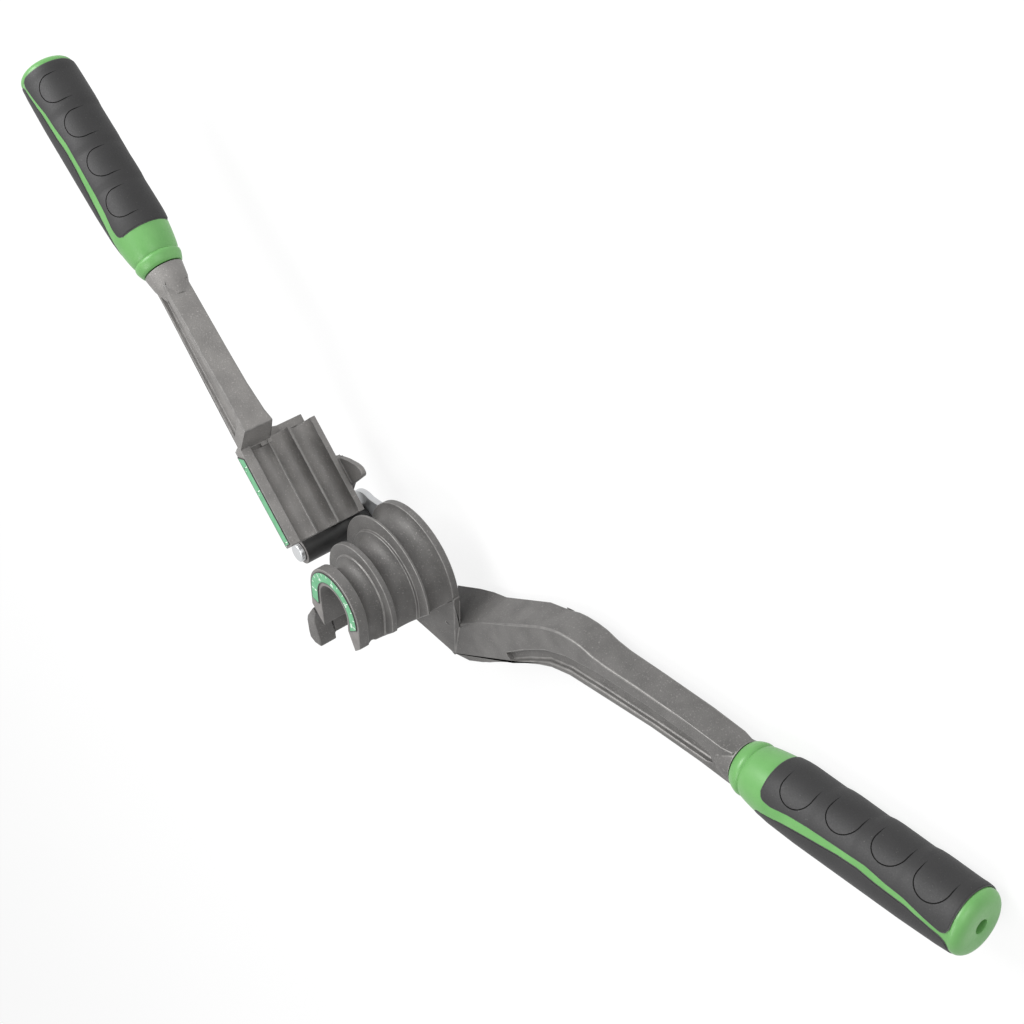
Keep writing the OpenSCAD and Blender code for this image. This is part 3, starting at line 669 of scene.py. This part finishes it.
def panel(name, body, start, end, low, high, radius, thick, material,
          corner=2.2, cell=0.5, nodes=()):
    """A rubber panel from start to end in mm, between the angles low(along) and high(along)."""
    origin, axis, up, across = grips[body]
    columns = round((end - start) / cell)
    rows = round(radians(high(40) - low(40)) * rubber_r / cell)
    bpy.ops.object.select_all(action="DESELECT")
    bpy.ops.mesh.primitive_grid_add(x_subdivisions=columns, y_subdivisions=rows, size=1)
    piece = bpy.context.object
    piece.name = name
    piece.data.name = name
    points = []
    for vertex in piece.data.vertices:
        along = start + (vertex.co.x + 0.5) * (end - start)
        inset = corner - min(corner, along - start, end - along)
        pulled = degrees((corner - sqrt(max(0.0, corner ** 2 - inset ** 2))) / rubber_r)
        angle = low(along) + pulled + (vertex.co.y + 0.5) * (high(along) - low(along) - 2 * pulled)
        reach = radius(along, angle) * MM
        turn = radians(angle)
        points.extend(origin + axis * along * MM + (up * cos(turn) + across * sin(turn)) * reach)
    piece.data.vertices.foreach_set("co", points)
    piece.data.update()
    bpy.ops.object.mode_set(mode="EDIT")
    bpy.ops.mesh.select_all(action="SELECT")
    bpy.ops.mesh.normals_make_consistent(inside=False)
    mesh = bmesh.from_edit_mesh(piece.data)
    mesh.faces.ensure_lookup_table()
    middle = mesh.faces[len(mesh.faces) // 2]
    centre = middle.calc_center_median()
    spine = origin + axis * (centre - origin).dot(axis)
    if middle.normal.dot(centre - spine) < 0:
        bpy.ops.mesh.flip_normals()
    bpy.ops.object.mode_set(mode="OBJECT")
    shell = piece.modifiers.new("thickness", "SOLIDIFY")
    shell.thickness = thick * MM
    shell.offset = -1
    bpy.ops.object.modifier_apply(modifier=shell.name)
    bevel = piece.modifiers.new("round rim", "BEVEL")
    bevel.limit_method = "ANGLE"
    bevel.angle_limit = radians(65)
    bevel.width = rim_round * MM
    bevel.segments = 2
    bpy.ops.object.modifier_apply(modifier=bevel.name)
    bpy.ops.object.shade_smooth_by_angle(angle=radians(35))
    paint(piece, [material])
    settle(piece, body, "grip_rubber", *nodes)
    print(name, "has", len(piece.data.polygons), "faces")

# %% Lay the panels on both grips
def mirrored(edge):
    return lambda along: 180 - edge(along)

def shifted(edge, by):
    return lambda along: edge(along) + by

def palm_low(along):
    return -180 - palm_edge(along)

finger_from, palm_from, rubber_to = 11.6, 9.2, 76.2
# Sizes of the black sheets that paint the shadow in the gap round the rubber panels' rims.
finger_shadow_rim_from, palm_shadow_rim_from, shadow_rim_to = 11.25, 8.8, 76.5
rubber_t, shadow_rim_t = 0.8, 0.3
shadow_rim_grow = 1.9
shadow_rim_r = 10.27
shadow_rim_low, shadow_rim_high = shifted(finger_edge, -shadow_rim_grow), mirrored(shifted(finger_edge, -shadow_rim_grow))
for body in grips:
    panel(body + "_finger_panel", body, finger_from, rubber_to, finger_edge, mirrored(finger_edge),
          rubber_radius, rubber_t, grip_rubber, nodes=(body + "_grip_top", body + "_grip_pads"))
    panel(body + "_palm_panel", body, palm_from, rubber_to, palm_low, palm_edge,
          lambda along, angle: palm_girth(along), rubber_t, grip_rubber,
          nodes=(body + "_grip_bottom",))
    # The two black sheets below are a little wider than the panels over them. They are painted shadow of
    # the gap round each panel's rim.
    panel(body + "_finger_shadow_rim", body, finger_shadow_rim_from, shadow_rim_to, shadow_rim_low, shadow_rim_high,
          lambda along, angle: min(shadow_rim_r, palm_girth(along) + 0.1), shadow_rim_t, black_steel, cell=0.8)
    panel(body + "_palm_shadow_rim", body, palm_shadow_rim_from, shadow_rim_to,
          shifted(palm_low, -shadow_rim_grow), shifted(palm_edge, shadow_rim_grow),
          lambda along, angle: min(shadow_rim_r, palm_girth(along) - 0.15), shadow_rim_t, black_steel, cell=0.8)

# %% Draw the dark U lines, painted shade along the finger hollows' rims
shade_line_t, shade_line_lift = 0.2, 0.02

def outline(name, body, centre, bottom, leg=4.2, half_width=0.17, steps=56):
    """A thin dark U of painted shade on the finger panel, along a finger hollow's rim.

    Its bottom lies at the angle bottom, and its legs run on towards the fingers.
    """
    origin, axis, up, across = grips[body]
    bpy.ops.object.select_all(action="DESELECT")
    bpy.ops.mesh.primitive_grid_add(x_subdivisions=steps, y_subdivisions=1, size=1)
    piece = bpy.context.object
    piece.name = name
    piece.data.name = name
    length = 2 * leg + pi * hollow_half
    points = []
    for vertex in piece.data.vertices:
        run = (vertex.co.x + 0.5) * length
        width = vertex.co.y * 2 * half_width * smooth(min(run, length - run) / leg + 0.1)
        bend = min(pi, max(0.0, (run - leg) / hollow_half))
        reach = hollow_half + width
        side = reach * -cos(bend)
        lift = reach * sin(bend) - max(0.0, leg - run) - max(0.0, run - length + leg)
        angle = bottom + degrees((hollow_half - lift) / rubber_r)
        turn = radians(angle)
        height = rubber_radius(centre + side, angle) + shade_line_lift
        outwards = up * cos(turn) + across * sin(turn)
        points.extend(origin + axis * (centre + side) * MM + outwards * height * MM)
    piece.data.vertices.foreach_set("co", points)
    piece.data.update()
    only(piece)
    bpy.ops.object.mode_set(mode="EDIT")
    mesh = bmesh.from_edit_mesh(piece.data)
    mesh.faces.ensure_lookup_table()
    face = mesh.faces[len(mesh.faces) // 2]
    if face.normal.dot(up) < 0:
        bpy.ops.mesh.select_all(action="SELECT")
        bpy.ops.mesh.flip_normals()
    bpy.ops.object.mode_set(mode="OBJECT")
    shell = piece.modifiers.new("thickness", "SOLIDIFY")
    shell.thickness = shade_line_t * MM
    shell.offset = -1
    bpy.ops.object.modifier_apply(modifier=shell.name)
    return piece

# Each U is painted shade along the rim of a finger hollow.
for body in grips:
    lines = [outline(f"{body}_outline_{i}", body, centre, bottom)
             for i, (centre, bottom) in enumerate(zip(hollow_at, hollow_bottom))]
    shade_lines = joined(lines, body + "_finger_shade_lines", groove_shade)
    settle(shade_lines, body, "grip_rubber")
    print(shade_lines.name, "has", len(shade_lines.data.polygons), "faces")

# %% [markdown]
# The sleeve, the collar and the cap are turned shapes, and so are the hinge pin and the light
# ring round it: a profile of a few points is spun round an axis.

# %% Turn a profile round an axis
def turned(name, body, profile, material, node=None, slot="grip_green",
           steps=72, smooth_angle=35, place=None):
    """A solid of revolution, round a grip's axis or round the one that place gives.

    Profile points are (along, radius) in mm. The last point is joined to the first.
    """
    origin, axis, up, across = place or grips[body]
    bpy.ops.object.select_all(action="DESELECT")
    bpy.ops.mesh.primitive_plane_add(size=1)
    piece = bpy.context.object
    piece.name = name
    piece.data.name = name
    mesh = bmesh.new()
    places = [origin + axis * along * MM + up * radius * MM for along, radius in profile]
    verts = [mesh.verts.new(place) for place in places]
    for a, b in zip(verts, verts[1:] + verts[:1]):
        mesh.edges.new((a, b))
    mesh.to_mesh(piece.data)
    mesh.free()
    only(piece)
    bpy.ops.object.mode_set(mode="EDIT")
    bpy.ops.mesh.select_all(action="SELECT")
    bpy.ops.mesh.spin(steps=steps, dupli=False, angle=2 * pi, center=origin, axis=axis)
    bpy.ops.mesh.select_all(action="SELECT")
    bpy.ops.mesh.remove_doubles(threshold=0.004 * MM)
    bpy.ops.mesh.delete_loose(use_faces=False)
    bpy.ops.mesh.select_all(action="SELECT")
    bpy.ops.mesh.normals_make_consistent(inside=False)
    bpy.ops.object.mode_set(mode="OBJECT")
    bpy.ops.object.shade_smooth_by_angle(angle=radians(smooth_angle))
    paint(piece, [material])
    settle(piece, body, slot, *([node] if node else []))
    print(name, "has", len(piece.data.polygons), "faces")

collar_profile = [(-2.3, 5.1), (-2.5, 5.6), (-2.5, 7.1), (-2.2, 7.5), (-1.5, 7.85), (-0.5, 8.25),
                  (0.4, 8.5), (1.1, 8.5), (1.55, 8.3), (1.8, 8.1), (2.05, 8.25), (2.6, 8.5),
                  (3.6, 8.75), (5.2, 9.05), (7.4, 9.4), (9.6, 9.7), (12.0, 9.95), (12.0, 9.2),
                  (2.0, 7.2), (-0.9, 5.1)]
sleeve_profile = [(11.6, 5.1), (11.6, 9.9), (12.4, 10.0), (16.0, 10.15), (22.0, 10.2),
                  (66.0, 10.2), (71.0, 10.05), (74.5, 9.8), (76.6, 9.6), (76.6, 5.1)]
cap_profile = [(76.2, 9.3), (76.3, 9.7), (76.9, 9.76), (77.5, 9.62), (78.1, 9.25), (78.6, 8.75),
               (79.0, 8.1), (79.25, 7.4), (79.4, 6.6), (79.4, 2.5), (79.3, 2.2), (79.0, 2.1),
               (70.6, 2.1), (70.6, 4.8), (76.2, 4.8)]
for body in grips:
    turned(body + "_collar", body, collar_profile, grip_green, body + "_grip_collar")
    turned(body + "_sleeve", body, sleeve_profile, grip_green, body + "_grip_core")
    turned(body + "_cap", body, cap_profile, grip_green, body + "_grip_cap")

# %% Turn the hinge pin and the light ring round it
pin_place = (Vector((hinge.x, hinge.y, 0)), Vector((0, 0, 1)), Vector((1, 0, 0)),
             Vector((0, 1, 0)))
pin_profile = [(-7.1, 0), (-7.1, 2.6), (-6.8, 3.0), (25.4, 3.0), (25.45, 3.25), (25.6, 3.5), (26.9, 3.5),
               (27.1, 3.4), (27.25, 3.1), (27.3, 2.7), (27.3, 0)]
turned("turned_pin", "link", pin_profile, bright_steel, "hinge_pin", "bright_steel",
       64, 50, pin_place)
ring_profile = [(25.3, 3.6), (25.42, 3.75), (25.42, 4.75), (25.3, 4.95), (25.0, 4.95),
                (25.0, 3.6)]
turned("sleeve_ring", "shoe", ring_profile, milled_metal, None, "black_steel",
       64, 50, pin_place)

# %% Paint the solids that are hidden behind their pieces
finish_of = {"cast_metal": cast_metal, "bright_steel": bright_steel, "black_steel": black_steel,
             "label_green": label_green, "grip_green": grip_green, "grip_rubber": grip_rubber}
for node, solid in frame["nodes"].items():
    solid.data.materials.clear()
    solid.data.materials.append(finish_of[slot_of[node]])
still_shown = [node for node, solid in frame["nodes"].items() if not solid.hide_render]
print("nodes still shown:", still_shown)
